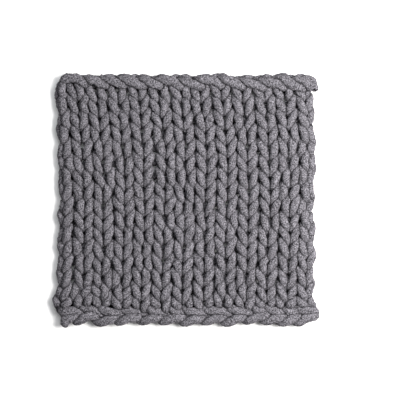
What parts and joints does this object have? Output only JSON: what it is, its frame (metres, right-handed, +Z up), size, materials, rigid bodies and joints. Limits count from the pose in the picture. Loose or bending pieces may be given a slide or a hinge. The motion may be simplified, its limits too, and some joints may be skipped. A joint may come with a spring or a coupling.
{
  "type": "chunky knit blanket",
  "caption": "Square hand-knitted blanket of thick soft grey chenille yarn, lying flat: plain V-shaped stitches between a bind-off and a cast-on chain.",
  "frame": {"origin": "middle of the flat underside, on the surface that the blanket lies on", "axes": "+Z up, out of the knit face; +Y along the wales, towards the bind-off chain; +X across the wales, to the right as seen from above with the bind-off chain at the far side"},
  "size_m": [0.6066, 0.586, 0.038],
  "materials": {
    "grey_chenille": "matt short-pile chenille yarn, mid grey with darker flecks"
  },
  "bodies": {
    "root": {"blanket": "grey_chenille"}
  },
  "joints": []
}
